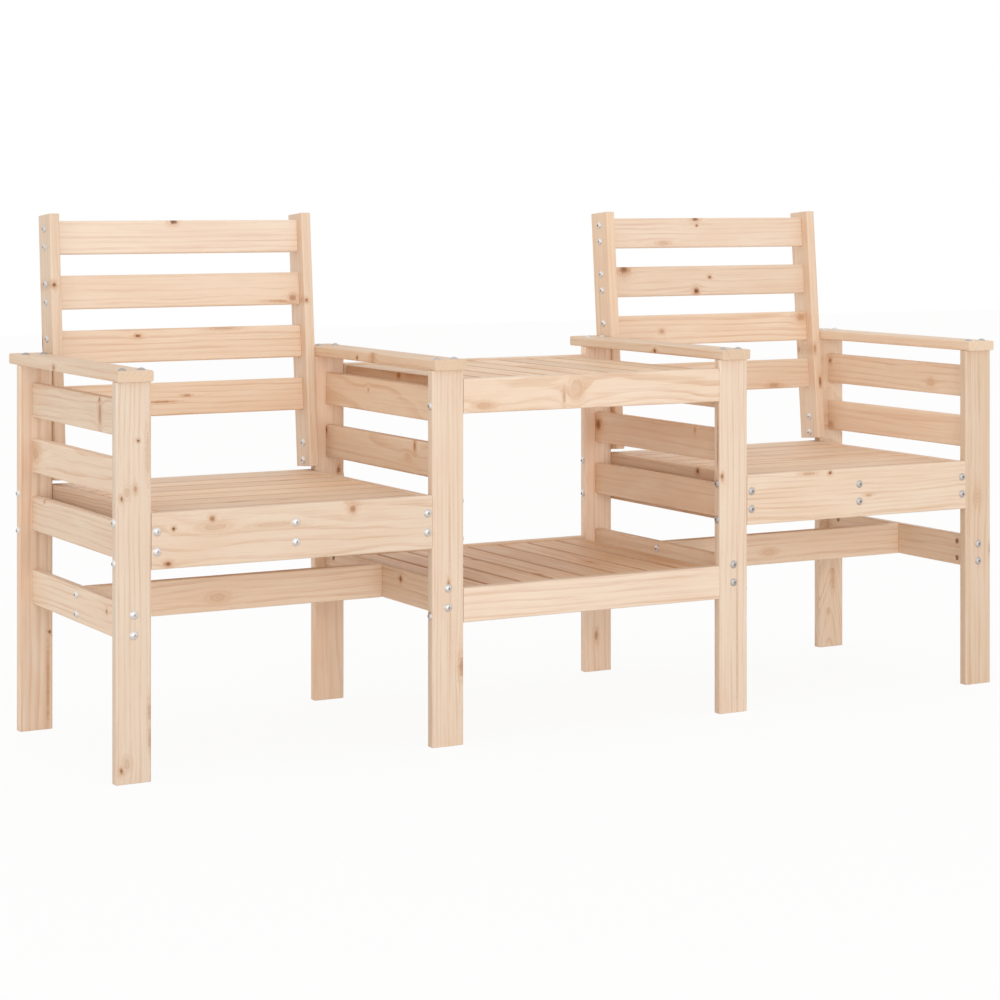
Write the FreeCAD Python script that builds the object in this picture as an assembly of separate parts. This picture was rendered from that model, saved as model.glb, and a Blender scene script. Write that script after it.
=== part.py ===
import FreeCAD, Part
import functools
import math
import os

# A two-seat garden bench of planed pine boards: two slatted armchairs joined by a middle
# table that has a lower shelf. Every board, bolt, screw and dowel is a solid of its own.
# Millimetres, +X to the right as seen from the front, +Y to the back, +Z up. Left and right
# in a piece's name are as seen from the front too. The origin lies on the floor, in the
# middle of the bench's plan.

# Sections of the timber
leg_width = 57.5
board_thickness = 18.0
slat_width = 57.0
side_slat_thickness = 15.5
seat_board_width = 87.0
runner_width = 52.0
cleat_width = 20.0
edge_radius = 3.0
end_radius = 1.0

# The two chairs and the table between them
seat_width = 484.0
table_width = 502.0
frame_depth = 466.0
leg_height = 611.0
arm_thickness = 17.5
arm_front_overhang = 9.5
arm_rear_overhang = 39.0
seat_height = 409.5
seat_slat_count = 7
slat_end_gap = 0.5
stretcher_height = 241.0
side_slat_top_gap = 29.5
upper_side_slat_pitch = 92.5
lower_side_slat_pitch = 96.5

# Table and shelf
table_height = 596.0
shelf_height = 255.5
table_slat_count = 8
table_slat_drop = 3.5

# Backrests
back_lean = 4.83
post_length = 448.0
post_width = 57.5
post_foot_lead = 19.5
post_foot_gap = 8.5
back_slat_count = 4
back_slat_pitch = 93.3
back_slat_margin = 11.0

# Dome-headed bolts with a hexagon socket; those of a side stretcher run through its nuts
head_diameter = 14.0
head_height = 3.5
shank_diameter = 6.0
socket_width = 4.0
socket_depth = 2.2
short_bolt_length = 45.0
stretcher_bolt_length = 60.0
long_bolt_length = 90.0
bolt_pair_offset = 15.5
seat_end_bolt_offset = 31.0
post_bolt_rise = 24.0
apron_bolt_rise = 14.0

# Barrel nuts across the side stretchers, set a little below their faces
nut_diameter = 10.0
nut_length = 10.0
nut_recess = 2.5
nut_from_end = 33.0
nut_slot_width = 1.4
nut_slot_depth = 1.2

# Countersunk wood screws and glued dowels; a screw reaches this far past a board's thickness
screw_reach = 12.0
screw_head_diameter = 8.0
screw_head_height = 2.5
screw_shank_diameter = 4.0
screw_tip_length = 4.0
dowel_diameter = 8.0
dowel_in_post = 10.0
dowel_in_slat = 20.0

# Play round every fastener, and the room over a sunk bolt head
hole_play = 0.1
sunk_head_room = 0.5

# Levels
arm_top = leg_height + arm_thickness
seat_slat_bottom = seat_height - board_thickness
screw_length = board_thickness + screw_reach
high_side_slat = leg_height - side_slat_top_gap - slat_width / 2
middle_side_slat = high_side_slat - upper_side_slat_pitch
low_side_slat = middle_side_slat - lower_side_slat_pitch
side_slat_heights = (low_side_slat, middle_side_slat, high_side_slat)
runner_height = seat_slat_bottom - runner_width / 2
seat_board_height = seat_height - seat_board_width / 2

# Depths, from the front faces of the front legs at leg_front to the backs of the rear legs
lean = math.radians(back_lean)
post_foot_depth = frame_depth - board_thickness - post_foot_lead
post_reach = post_foot_depth + post_length * math.sin(lean) + post_width * math.cos(lean)
rear_reach = max(post_reach, frame_depth + arm_rear_overhang)
leg_front = (arm_front_overhang - rear_reach) / 2
leg_back = leg_front + frame_depth
front_board = (leg_front, leg_front + board_thickness)
rear_board = (leg_back - board_thickness, leg_back)
inside = (front_board[1], rear_board[0])
middle_depth = (leg_front + leg_back) / 2
post_foot = FreeCAD.Vector(0, leg_front + post_foot_depth, seat_height + post_foot_gap)
TO_RIGHT = FreeCAD.Vector(1, 0, 0)
TO_BACK = FreeCAD.Vector(0, 1, 0)
BACK_TIP = FreeCAD.Rotation(TO_RIGHT, -back_lean)

# Widths, from the middle of the table outwards; each is used for both chairs with its sign
inner_leg = table_width / 2 + leg_width / 2
outer_leg = inner_leg + leg_width + seat_width
seat_middle = (inner_leg + outer_leg) / 2
CHAIRS = (("left", -1), ("right", 1))
LEG_LINES = (("outer", outer_leg), ("inner", inner_leg))

timber = {}
short_bolts = []
long_bolts = []
barrel_nuts = []
screws = []
dowels = []
holes = []


def about(middle, width):
    """The two limits of something of this width about its middle."""
    return (middle - width / 2, middle + width / 2)


def pair(middle, offset=bolt_pair_offset):
    """Two places at one offset to each side of the middle."""
    return (middle - offset, middle + offset)


@functools.cache
def planed_block(*sizes):
    """A board of these sizes from the origin, with rounded long edges and eased ends."""
    block = Part.makeBox(*sizes)
    run = sizes.index(max(sizes))
    long_edges = [edge for edge in block.Edges if abs(edge.Length - sizes[run]) < 1e-6]
    block = block.makeFillet(edge_radius, long_edges)
    ends = [face for face in block.Faces if abs(abs(face.normalAt(0, 0)[run]) - 1) < 1e-6]
    end_edges = [edge for face in ends for edge in face.Edges]
    return block.makeFillet(end_radius, end_edges).Solids[0]


def moved_to(shape, base, turn=FreeCAD.Rotation()):
    """A copy of the shape, turned about the origin and then moved from there to the base."""
    moved = shape.copy()
    moved.Placement = FreeCAD.Placement(base, turn).multiply(shape.Placement)
    return moved


def board(x, y, z):
    """A planed board between these limits."""
    sizes = [round(limits[1] - limits[0], 6) for limits in (x, y, z)]
    return moved_to(planed_block(*sizes), FreeCAD.Vector(x[0], y[0], z[0]))


def add(node, *solids):
    """Puts boards into a named node."""
    timber.setdefault(node, []).extend(solids)


def placed(shape, point, outward):
    """The shape with its +Z turned to the outward direction and its origin at the point."""
    turn = FreeCAD.Rotation(FreeCAD.Vector(0, 0, 1), FreeCAD.Vector(*outward))
    return moved_to(shape, FreeCAD.Vector(*point), turn)


def leaned(shape):
    """Tips a shape drawn upright at the foot of the backrest, back by the lean."""
    return moved_to(shape, post_foot, BACK_TIP)


def dome_bolt(length):
    """A dome head that rises from z = 0, its hexagon socket, and a plain shank below."""
    rim = FreeCAD.Vector(head_diameter / 2, 0, 0)
    crown = FreeCAD.Vector(0, 0, head_height)
    ball_radius = (rim.x ** 2 + head_height ** 2) / (2 * head_height)
    half_angle = math.asin(rim.x / ball_radius) / 2
    ball_centre = head_height - ball_radius
    shoulder = FreeCAD.Vector(
        ball_radius * math.sin(half_angle), 0, ball_centre + ball_radius * math.cos(half_angle))
    outline = Part.Wire([
        Part.makeLine(FreeCAD.Vector(0, 0, 0), rim),
        Part.Arc(rim, shoulder, crown).toShape(),
        Part.makeLine(crown, FreeCAD.Vector(0, 0, 0)),
    ])
    head = Part.Face(outline).revolve(FreeCAD.Vector(), FreeCAD.Vector(0, 0, 1), 360)
    corner_radius = socket_width / 2 / math.cos(math.pi / 6)
    corners = [
        FreeCAD.Vector(
            corner_radius * math.cos(i * math.pi / 3),
            corner_radius * math.sin(i * math.pi / 3),
            head_height - socket_depth)
        for i in range(7)
    ]
    socket = Part.Face(Part.makePolygon(corners)).extrude(FreeCAD.Vector(0, 0, head_height))
    shank = Part.makeCylinder(
        shank_diameter / 2, length, FreeCAD.Vector(), FreeCAD.Vector(0, 0, -1))
    return head.cut(socket).fuse(shank).removeSplitter().Solids[0]


def countersunk_screw(play=0.0):
    """A flat head flush at z = 0, a plain shank and a pointed tip; play widens it to its hole."""
    head_radius = screw_head_diameter / 2 + play
    shank_radius = screw_shank_diameter / 2 + play
    points = [
        (0, 0),
        (head_radius, 0),
        (shank_radius, -screw_head_height),
        (shank_radius, screw_tip_length - screw_length),
        (0, -screw_length - play),
        (0, 0),
    ]
    outline = Part.makePolygon([FreeCAD.Vector(x, 0, z) for x, z in points])
    return Part.Face(outline).revolve(FreeCAD.Vector(), FreeCAD.Vector(0, 0, 1), 360).Solids[0]


def bolt_hole(length):
    """The hole that a bolt's shank runs in."""
    return Part.makeCylinder(
        shank_diameter / 2 + hole_play, length + hole_play,
        FreeCAD.Vector(), FreeCAD.Vector(0, 0, -1))


def barrel_nut():
    """A round bar sunk below z = 0, slotted on top, with the bolt's hole across it along Y."""
    bar = Part.makeCylinder(
        nut_diameter / 2, nut_length, FreeCAD.Vector(0, 0, -nut_recess - nut_length))
    slot = Part.makeBox(
        nut_slot_width, nut_diameter, nut_slot_depth,
        FreeCAD.Vector(-nut_slot_width / 2, -nut_diameter / 2, -nut_recess - nut_slot_depth))
    bolt_way = Part.makeCylinder(
        shank_diameter / 2 + hole_play, nut_diameter,
        FreeCAD.Vector(0, -nut_diameter / 2, -side_slat_thickness / 2), TO_BACK)
    return bar.cut([slot, bolt_way]).Solids[0]


def nut_hole():
    """The blind hole that a barrel nut is pushed into."""
    depth = nut_recess + nut_length + hole_play
    return Part.makeCylinder(
        nut_diameter / 2 + hole_play, depth, FreeCAD.Vector(0, 0, -depth))


SHORT_BOLT = dome_bolt(short_bolt_length)
STRETCHER_BOLT = dome_bolt(stretcher_bolt_length)
LONG_BOLT = dome_bolt(long_bolt_length)
BARREL_NUT = barrel_nut()
SCREW = countersunk_screw()


def short_bolt(point, outward):
    """A bolt through one board into the next, its head seated at the point."""
    short_bolts.append(placed(SHORT_BOLT, point, outward))
    holes.append(placed(bolt_hole(short_bolt_length), point, outward))


def long_bolt(point, outward, sunk=False):
    """A bolt through the width of a leg; a sunk one has its head in a pocket of the leg."""
    depth = head_height + sunk_head_room if sunk else 0.0
    seat = [place - depth * way for place, way in zip(point, outward)]
    long_bolts.append(placed(LONG_BOLT, seat, outward))
    holes.append(placed(bolt_hole(long_bolt_length), seat, outward))
    if sunk:
        pocket = Part.makeCylinder(head_diameter / 2 + sunk_head_room, depth)
        holes.append(placed(pocket, seat, outward))


def stretcher_bolt(point, outward, nut_point, nut_outward):
    """A bolt through a leg into a stretcher, where it meets the barrel nut set at its point."""
    short_bolts.append(placed(STRETCHER_BOLT, point, outward))
    holes.append(placed(bolt_hole(stretcher_bolt_length), point, outward))
    barrel_nuts.append(placed(BARREL_NUT, nut_point, nut_outward))
    holes.append(placed(nut_hole(), nut_point, nut_outward))


def screw(point, outward):
    """A wood screw driven flush at the point."""
    screws.append(placed(SCREW, point, outward))
    holes.append(placed(countersunk_screw(hole_play), point, outward))


def dowel(point, outward, turned=None):
    """A dowel across the joint at the point; outward leads into the slat."""
    peg = Part.makeCylinder(
        dowel_diameter / 2, dowel_in_post + dowel_in_slat,
        FreeCAD.Vector(0, 0, -dowel_in_post))
    bore = Part.makeCylinder(
        dowel_diameter / 2 + hole_play, dowel_in_post + dowel_in_slat + 2 * hole_play,
        FreeCAD.Vector(0, 0, -dowel_in_post - hole_play))
    for shape, group in ((peg, dowels), (bore, holes)):
        solid = placed(shape, point, outward)
        group.append(turned(solid) if turned else solid)


def make_leg_line(name, x):
    """A chair's side: front and rear leg, armrest, three slats and the low stretcher."""
    width = about(x, leg_width)
    slat_run = about(x, side_slat_thickness)
    add(f"{name}_front_leg", board(width, front_board, (0, leg_height)))
    add(f"{name}_rear_leg", board(width, rear_board, (0, leg_height)))
    arm_run = (leg_front - arm_front_overhang, leg_back + arm_rear_overhang)
    add(f"{name}_armrest", board(width, arm_run, (leg_height, arm_top)))
    for height in side_slat_heights:
        add(f"{name}_side_slats", board(slat_run, inside, about(height, slat_width)))
    stretcher = board(slat_run, inside, about(stretcher_height, slat_width))
    add(f"{name}_side_stretcher", stretcher)
    for bolt_x in pair(x):
        for leg in (front_board, rear_board):
            short_bolt((bolt_x, sum(leg) / 2, arm_top), (0, 0, 1))
    chair_way = math.copysign(1, math.copysign(seat_middle, x) - x)
    chair_face = x + chair_way * side_slat_thickness / 2
    for joint, way in ((inside[0], 1), (inside[1], -1)):
        for height in side_slat_heights:
            for z in pair(height):
                dowel((x, joint, z), (0, way, 0))
        for z in pair(stretcher_height):
            stretcher_bolt(
                (x, joint - way * board_thickness, z), (0, -way, 0),
                (chair_face, joint + way * nut_from_end, z), (chair_way, 0, 0))


def fix_cleat(slat_middles, corner, along, away):
    """
    Screws under a cleat up into each slat, and three more through it into the board behind.
    The corner is where the cleat's underside meets that board, at the middle of the bench;
    the slats follow each other along the cleat, and away leads off the board.
    """
    underside = corner + away * (board_thickness / 2)
    for middle in slat_middles:
        screw(underside + along * middle, (0, 0, -1))
    inner_face = corner + away * board_thickness + FreeCAD.Vector(0, 0, cleat_width / 2)
    for i in (0, len(slat_middles) // 2 - 1, -2):
        between_slats = (slat_middles[i] + slat_middles[i + 1]) / 2
        screw(inner_face + along * between_slats, away)


def make_seat(name, side):
    """
    A chair's seat: a frame of four wide boards, the slats in it flush with its top, a cleat
    on each side board for the ends of the slats and a runner under their middles.
    """
    x_middle = side * seat_middle
    seat_run = about(x_middle, seat_width)
    board_levels = (seat_height - seat_board_width, seat_height)
    add(f"{name}_seat_front_board", board(seat_run, front_board, board_levels))
    add(f"{name}_seat_rear_board", board(seat_run, rear_board, board_levels))
    gap = (inside[1] - inside[0] - seat_slat_count * slat_width) / (seat_slat_count + 1)
    slat_ys = [inside[0] + gap + slat_width / 2 + i * (slat_width + gap)
               for i in range(seat_slat_count)]
    slat_run = about(x_middle, seat_width - 2 * (board_thickness + slat_end_gap))
    for y in slat_ys:
        slat = board(slat_run, about(y, slat_width), (seat_slat_bottom, seat_height))
        add(f"{name}_seat_slats", slat)
    runner_levels = about(runner_height, runner_width)
    runner = board(about(x_middle, board_thickness), inside, runner_levels)
    add(f"{name}_seat_runner", runner)
    cleat_bottom = seat_slat_bottom - cleat_width
    rail_offset = (seat_width - board_thickness) / 2
    for place, way in (("outer", side), ("inner", -side)):
        x = x_middle + way * rail_offset
        rail = board(about(x, board_thickness), inside, board_levels)
        add(f"{name}_{place}_seat_rail", rail)
        face = x - way * board_thickness / 2
        cleat_run = sorted((face, face - way * board_thickness))
        cleat = board(cleat_run, inside, (cleat_bottom, seat_slat_bottom))
        add("seat_cleats", cleat)
        corner = FreeCAD.Vector(face, 0, cleat_bottom)
        fix_cleat(slat_ys, corner, TO_BACK, TO_RIGHT * -way)
    for offset in (-rail_offset, 0, rail_offset):
        for z in pair(runner_height):
            short_bolt((x_middle + offset, leg_front, z), (0, -1, 0))
            short_bolt((x_middle + offset, leg_back, z), (0, 1, 0))
    for board_run in (front_board, rear_board):
        for z in pair(seat_board_height, seat_end_bolt_offset):
            for leg_x, way in ((outer_leg, 1), (inner_leg, -1)):
                x = side * (leg_x + way * leg_width / 2)
                long_bolt((x, sum(board_run) / 2, z), (side * way, 0, 0))


def make_centre_stretcher(name, side):
    """The low board between the two side stretchers of a chair."""
    length = outer_leg - inner_leg - side_slat_thickness
    x_run = about(side * seat_middle, length)
    y_run = about(middle_depth, board_thickness)
    stretcher = board(x_run, y_run, about(stretcher_height, slat_width))
    add(f"{name}_centre_stretcher", stretcher)
    for z in pair(stretcher_height):
        for x, way in ((x_run[0] - side_slat_thickness, -1), (x_run[1] + side_slat_thickness, 1)):
            short_bolt((x, middle_depth, z), (way, 0, 0))


def make_backrest(name, side):
    """Two leaning posts on the inside of the rear legs, and the slats between them."""
    x_middle = side * seat_middle
    post_offset = (seat_width - board_thickness) / 2
    slat_run = about(x_middle, seat_width - 2 * board_thickness)
    slat_depth = about(post_width / 2, board_thickness)
    bolt_depth = sum(rear_board) / 2
    bolt_level = post_foot.z + post_bolt_rise
    for place, offset in (("outer", post_offset), ("inner", -post_offset)):
        x = x_middle + side * offset
        post = board(about(x, board_thickness), (0, post_width), (0, post_length))
        add(f"{name}_{place}_back_post", leaned(post))
        way = math.copysign(1, x - x_middle)
        for z in pair(bolt_level):
            short_bolt((x - way * board_thickness / 2, bolt_depth, z), (-way, 0, 0))
    for i in range(back_slat_count):
        top = post_length - back_slat_margin - i * back_slat_pitch
        slat = board(slat_run, slat_depth, (top - slat_width, top))
        add(f"{name}_back_slat_{i + 1}", leaned(slat))
        for rise in pair(top - slat_width / 2):
            make_back_slat_joint(slat_run, rise)


def make_back_slat_joint(slat_run, rise):
    """A bolt at each end of a back slat where its head clears the armrest, else a dowel."""
    local = FreeCAD.Vector(0, post_width / 2, rise)
    place = FreeCAD.Placement(post_foot, BACK_TIP).multVec(local)
    for x, way in ((slat_run[0], -1), (slat_run[1], 1)):
        if place.z - head_diameter / 2 > arm_top:
            short_bolt((x + way * board_thickness, place.y, place.z), (way, 0, 0))
        else:
            dowel((x, local.y, local.z), (-way, 0, 0), leaned)


def make_table(name, height):
    """Aprons between the inner legs, cleats behind them, and slats on the cleats."""
    x_run = (-table_width / 2, table_width / 2)
    slat_top = height - table_slat_drop
    slat_bottom = slat_top - board_thickness
    cleat_bottom = slat_bottom - cleat_width
    gap = (table_width - table_slat_count * slat_width) / (table_slat_count + 1)
    slat_xs = [x_run[0] + gap + slat_width / 2 + i * (slat_width + gap)
               for i in range(table_slat_count)]
    slat_depth = (inside[0] + slat_end_gap, inside[1] - slat_end_gap)
    for x in slat_xs:
        slat = board(about(x, slat_width), slat_depth, (slat_bottom, slat_top))
        add(f"{name}_slats", slat)
    for place, run, way in (("front", front_board, 1), ("rear", rear_board, -1)):
        add(f"{name}_{place}_apron", board(x_run, run, (height - slat_width, height)))
        face = inside[0] if way > 0 else inside[1]
        cleat_run = sorted((face, face + way * board_thickness))
        add(f"{name}_cleats", board(x_run, cleat_run, (cleat_bottom, slat_bottom)))
        corner = FreeCAD.Vector(0, face, cleat_bottom)
        fix_cleat(slat_xs, corner, TO_RIGHT, TO_BACK * way)
        covered = place == "rear" and height > post_foot.z
        for side in (-1, 1):
            x = side * (table_width / 2 + leg_width)
            level = height - slat_width + apron_bolt_rise
            long_bolt((x, sum(run) / 2, level), (side, 0, 0), sunk=covered)


def drilled(solid, tools):
    """The board with every hole that reaches it; each tool comes with its bounding box."""
    reach = solid.BoundBox
    cutters = [tool for tool, box in tools if box.intersect(reach)]
    return solid.cut(cutters).Solids[0] if cutters else solid


def write(node, solids):
    """Writes a node's solids as one STEP file."""
    shape = solids[0] if len(solids) == 1 else Part.makeCompound(solids)
    shape.exportStep(f"parts/{node}.step")
    print(node, len(solids), round(sum(solid.Volume for solid in solids)))


for chair, side_sign in CHAIRS:
    for line, leg_middle in LEG_LINES:
        make_leg_line(f"{chair}_{line}", side_sign * leg_middle)
    make_seat(chair, side_sign)
    make_centre_stretcher(chair, side_sign)
    make_backrest(chair, side_sign)
make_table("table", table_height)
make_table("shelf", shelf_height)

os.makedirs("parts", exist_ok=True)
hole_tools = [(hole, hole.BoundBox) for hole in holes]
for timber_node, boards in timber.items():
    write(timber_node, [drilled(solid, hole_tools) for solid in boards])
write("short_bolts", short_bolts)
write("long_bolts", long_bolts)
write("barrel_nuts", barrel_nuts)
write("cleat_screws", screws)
write("wooden_dowels", dowels)
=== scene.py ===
# %% [markdown]
# # A companion seat bench in planed pine
# Two slatted armchairs share a middle table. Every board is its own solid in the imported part, with
# its rounded edges and drilled holes, so nothing is modelled again here. What is left to do is what
# the eye reads as wood: growth rings, knots, fibres, end grain, and zinc-plated bolts in them.

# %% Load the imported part
import math

import bpy
from mathutils import Matrix, Vector


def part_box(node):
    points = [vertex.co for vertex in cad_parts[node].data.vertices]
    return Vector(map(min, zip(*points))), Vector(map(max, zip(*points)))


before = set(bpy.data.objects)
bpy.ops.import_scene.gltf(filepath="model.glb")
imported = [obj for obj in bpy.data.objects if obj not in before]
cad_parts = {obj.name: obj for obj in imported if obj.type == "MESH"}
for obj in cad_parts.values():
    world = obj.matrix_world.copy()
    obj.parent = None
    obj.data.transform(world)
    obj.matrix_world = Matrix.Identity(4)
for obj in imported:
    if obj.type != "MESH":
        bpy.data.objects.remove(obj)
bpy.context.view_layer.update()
print("CAD nodes:", len(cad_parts))

# %% [markdown]
# ## Working in millimetres and in hex colours
# The scene is in metres, but a joiner reads rings, knots and edges in millimetres. Colours are
# written as sRGB hex, as a colour chart gives them, and one function turns them to the linear
# values that shaders expect.

# %% Units and colours
MM = 0.001


def linear(hex_colour):
    """The linear RGBA of an sRGB hex colour such as E8C8A0."""
    values = [int(hex_colour[i:i + 2], 16) / 255 for i in (0, 2, 4)]
    return [v / 12.92 if v <= 0.04045 else ((v + 0.055) / 1.055) ** 2.4 for v in values] + [1.0]


print("808080 in linear light:", round(linear("808080")[0], 3))

# %% [markdown]
# ## One way to add a node
# A material is a graph. Its nodes can be placed by hand in the shader editor. In a script one small
# function adds any of them, with its settings and its inputs, which are plain values, other nodes
# or one of their output sockets. An input that is None keeps its own value.

# %% Adding a node
def pick(sockets, key):
    """The enabled socket with this name, or this number among the enabled ones."""
    enabled = [socket for socket in sockets if socket.enabled]
    return enabled[key] if isinstance(key, int) else next(s for s in enabled if s.name == key)


def add_node(tree, kind, inputs=None, **settings):
    """Adds a shader node with its settings and its inputs, and returns it."""
    made = tree.nodes.new("ShaderNode" + kind)
    for name, value in settings.items():
        setattr(made, name, value)
    for key, value in (inputs or {}).items():
        if isinstance(value, bpy.types.Node):
            value = pick(value.outputs, 0)
        if isinstance(value, bpy.types.NodeSocket):
            tree.links.new(value, pick(made.inputs, key))
        elif value is not None:
            pick(made.inputs, key).default_value = value
    return made


# %% [markdown]
# A group is a graph with named inputs, so a lesson in wood is written once and used by every board.

# %% Opening and closing a group
def new_group(name, inputs, outputs):
    """An empty node group with these sockets, and its input node. A vector's default is a tuple."""
    tree = bpy.data.node_groups.new(name, "ShaderNodeTree")
    for label, default in inputs.items():
        kind = "NodeSocketVector" if isinstance(default, tuple) else "NodeSocketFloat"
        socket = tree.interface.new_socket(label, in_out="INPUT", socket_type=kind)
        socket.default_value = default
    for label, kind in outputs.items():
        tree.interface.new_socket(label, in_out="OUTPUT", socket_type="NodeSocket" + kind)
    return tree, tree.nodes.new("NodeGroupInput").outputs


def close_group(tree, **outputs):
    """Links the group's outputs, and says how many nodes it took."""
    end = tree.nodes.new("NodeGroupOutput")
    for label, value in outputs.items():
        source = pick(value.outputs, 0) if isinstance(value, bpy.types.Node) else value
        tree.links.new(source, end.inputs[label.replace("_", " ")])
    print(f"group {tree.name}: {len(tree.nodes)} nodes")


# %% [markdown]
# A finish starts from an empty graph, and a node of the part takes it in place of the plain one
# that it came with. Its mesh is left alone, so the bench keeps its exact shape.

# %% New materials, and pieces that take them
def new_material(name):
    """A material with an empty graph, and that graph."""
    material = bpy.data.materials.new(name)
    material.use_nodes = True
    material.node_tree.nodes.clear()
    return material, material.node_tree


def dress(name, material):
    """Gives a node of the part this material instead of its own."""
    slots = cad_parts[name].data.materials
    slots.clear()
    slots.append(material)


# %% [markdown]
# ## Rows of equal boards
# Seven seat slats are one node of the part, but they are seven boards cut from different trees. A
# row is split by its pitch: the whole part of the division numbers the board, and what is left is
# the place across that one board.

# %% Group: which board of a row
# A board on its own is a row of one, with a pitch wider than any board, in millimetres.
LONE_PITCH = 1000.0
tree, given = new_group(
    "Board of a row", {"Place": (0.0, 0.0, 0.0), "Boards": 1.0, "Pitch": LONE_PITCH},
    {"Place": "Vector", "Board": "Float"})
parts = add_node(tree, "SeparateXYZ", {0: given["Place"]})
cells = add_node(tree, "Math", {0: parts.outputs["Y"], 1: given["Pitch"]}, operation="DIVIDE")
half_row = add_node(tree, "Math", {0: given["Boards"], 1: 0.5}, operation="MULTIPLY")
cells = add_node(tree, "Math", {0: cells, 1: half_row}, operation="ADD")
board = add_node(tree, "Math", {0: cells}, operation="FLOOR")
rest = add_node(tree, "Math", {0: cells, 1: board}, operation="SUBTRACT")
rest = add_node(tree, "Math", {0: rest, 1: 0.5}, operation="SUBTRACT")
across = add_node(tree, "Math", {0: rest, 1: given["Pitch"]}, operation="MULTIPLY")
place = add_node(
    tree, "CombineXYZ", {"X": parts.outputs["X"], "Y": across, "Z": parts.outputs["Z"]})
close_group(tree, Place=place, Board=board)

# %% [markdown]
# ## Knots
# A knot is a branch that grew through the trunk. Fibres part in front of it and close behind it,
# like water round a post, so the group moves the place across the board by the stream function of
# such a flow. It also keeps how near the nearest knot is, with 1 at its rim, for the colour.

# %% Group: one knot
# A board without a knot is this many times a knot's own reach away from one.
FAR = 99.0
# A branch reaches right through its board: its third size in millimetres is as good as endless.
ENDLESS = 1e6
tree, given = new_group(
    "Pine knot",
    {"Grain": (0.0, 0.0, 0.0), "Near": FAR, "Dark": 0.0, "Middle": (0.0, 0.0, 0.0),
     "Reach": (6.0, 4.0, ENDLESS), "Bend": (0.0, 1.0, 0.0), "Core": 1.0, "Board": 0.0,
     "On board": 0.0},
    {"Grain": "Vector", "Near": "Float", "Dark": "Float"})
offset = add_node(
    tree, "VectorMath", {0: given["Grain"], 1: given["Middle"]}, operation="SUBTRACT")
scaled = add_node(tree, "VectorMath", {0: offset, 1: given["Reach"]}, operation="DIVIDE")
distance = add_node(tree, "VectorMath", {0: scaled}, operation="LENGTH")
# A knot on another board of the row is put out of reach.
other = add_node(tree, "Math", {0: given["Board"], 1: given["On board"], 2: 0.5},
                 operation="COMPARE")
other = add_node(tree, "Math", {0: 1.0, 1: other}, operation="SUBTRACT")
distance = add_node(tree, "Math", {0: other, 1: FAR, 2: distance}, operation="MULTIPLY_ADD")
near = add_node(tree, "Math", {0: given["Near"], 1: distance}, operation="MINIMUM")
nearest = add_node(tree, "Math", {0: distance, 1: given["Near"]}, operation="LESS_THAN")
dark = add_node(tree, "Mix", {"Factor": nearest, "A": given["Dark"], "B": given["Core"]})
square = add_node(tree, "Math", {0: distance, 1: distance}, operation="MULTIPLY")
parting = add_node(tree, "Math", {0: 1.0, 1: square}, operation="DIVIDE", use_clamp=True)
shift = add_node(tree, "VectorMath", {0: offset, 1: given["Bend"]}, operation="MULTIPLY")
shift = add_node(tree, "VectorMath", {0: shift, "Scale": parting}, operation="SCALE")
grain = add_node(tree, "VectorMath", {0: given["Grain"], 1: shift}, operation="SUBTRACT")
close_group(tree, Grain=grain, Near=near, Dark=dark)

# %% [markdown]
# ## Growth rings
# Softwood is laid down in yearly rings round the pith. A board is a cut through those cylinders.
# Where it passes near the pith its face shows long arches, and far from it straight lines, and the
# end shows arcs. Lines painted on each face would never meet at the corners, so the rings are
# worked out in space, from one distance to the pith. The pith isn't straight, as no trunk is: it
# wanders by a few millimetres in bends 230 mm long, and it climbs along the board by the slope.

# %% Group: growth rings, from the distance to the pith
# From side to side, in millimetres.
PITH_WANDER = 17.0


def per(*sizes):
    """How many of a pattern fit in a unit of length, from its sizes in that unit."""
    return tuple(1 / size for size in sizes)


tree, given = new_group(
    "Growth rings",
    {"Grain": (0.0, 0.0, 0.0), "Pith": (0.0, 0.0, 0.0), "Slope": 0.02, "Ring width": 5.0,
     "Wander": 1.0, "Seed": 0.0},
    {"Late wood": "Float"})
seed_step = add_node(tree, "CombineXYZ", {"X": given["Seed"], "Z": given["Seed"]})
wander_place = add_node(
    tree, "VectorMath", {0: given["Grain"], 1: per(230, 75, 75), 2: seed_step},
    operation="MULTIPLY_ADD")
wander = add_node(
    tree, "TexNoise", {"Vector": wander_place, "Scale": 1.0, "Detail": 2.0, "Roughness": 0.45})
wander = add_node(
    tree, "VectorMath",
    {0: wander.outputs["Color"], 1: (0.0, PITH_WANDER, PITH_WANDER),
     2: (0.0, -PITH_WANDER / 2, -PITH_WANDER / 2)}, operation="MULTIPLY_ADD")
wander = add_node(tree, "VectorMath", {0: wander, "Scale": given["Wander"]}, operation="SCALE")
parts = add_node(tree, "SeparateXYZ", {0: given["Grain"]})
rise = add_node(tree, "Math", {0: parts.outputs["X"], 1: given["Slope"]}, operation="MULTIPLY")
rise = add_node(tree, "CombineXYZ", {"Z": rise})
arm = add_node(tree, "VectorMath", {0: given["Grain"], 1: given["Pith"]}, operation="SUBTRACT")
arm = add_node(tree, "VectorMath", {0: arm, 1: wander}, operation="ADD")
arm = add_node(tree, "VectorMath", {0: arm, 1: rise}, operation="ADD")
arm = add_node(tree, "VectorMath", {0: arm, 1: (0.0, 1.0, 1.0)}, operation="MULTIPLY")
radius = add_node(tree, "VectorMath", {0: arm}, operation="LENGTH")
print("the pith wanders by up to", PITH_WANDER / 2, "mm each way")

# %% [markdown]
# A year starts with a wide pale band in spring and closes in a thin darker one in autumn, which
# ends at once when growth stops for the winter. Wet years are wider than dry ones, and no two close
# in the same dark, so noise shifts the rings and each year draws its own weight.

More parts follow.
